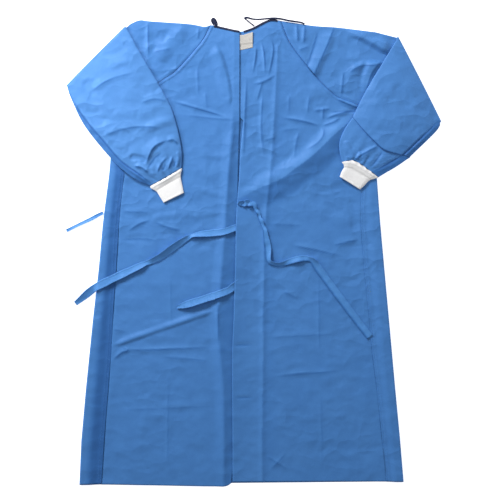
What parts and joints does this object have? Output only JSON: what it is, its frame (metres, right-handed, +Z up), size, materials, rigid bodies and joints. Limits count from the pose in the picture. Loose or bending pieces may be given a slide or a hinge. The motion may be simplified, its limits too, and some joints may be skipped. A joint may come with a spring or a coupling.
{
  "type": "surgical gown",
  "caption": "Blue nonwoven surgical gown laid flat with its open back up: raglan sleeves folded over at the elbow, white knit cuffs, navy neck binding and waist ties.",
  "frame": {"origin": "on the surface it lies on, under the middle of the outline of the laid gown", "axes": "+Z up out of the laid cloth, +Y from the hem towards the neck, +X to the right of the picture as laid, back side up"},
  "size_m": [0.9941, 1.245, 0.0219],
  "materials": {
    "blue_nonwoven": "matte spunbond nonwoven",
    "white_knit": "matte rib knit",
    "navy_binding": "matte woven tape",
    "white_patch": "matte loop tape"
  },
  "bodies": {
    "root": {"front_panel": "blue_nonwoven", "back_panel_left": "blue_nonwoven", "back_panel_right": "blue_nonwoven", "sleeve_left": "blue_nonwoven", "sleeve_right": "blue_nonwoven", "cuff_left": "white_knit", "cuff_right": "white_knit", "neck_binding_left": "navy_binding", "neck_binding_right": "navy_binding", "neck_tie_left": "navy_binding", "neck_tie_right": "navy_binding", "closure_patch": "white_patch", "waist_tie_upper_left": "blue_nonwoven", "waist_tie_lower_left": "blue_nonwoven", "waist_tie_right": "blue_nonwoven", "waist_tie_side": "blue_nonwoven"}
  },
  "joints": []
}
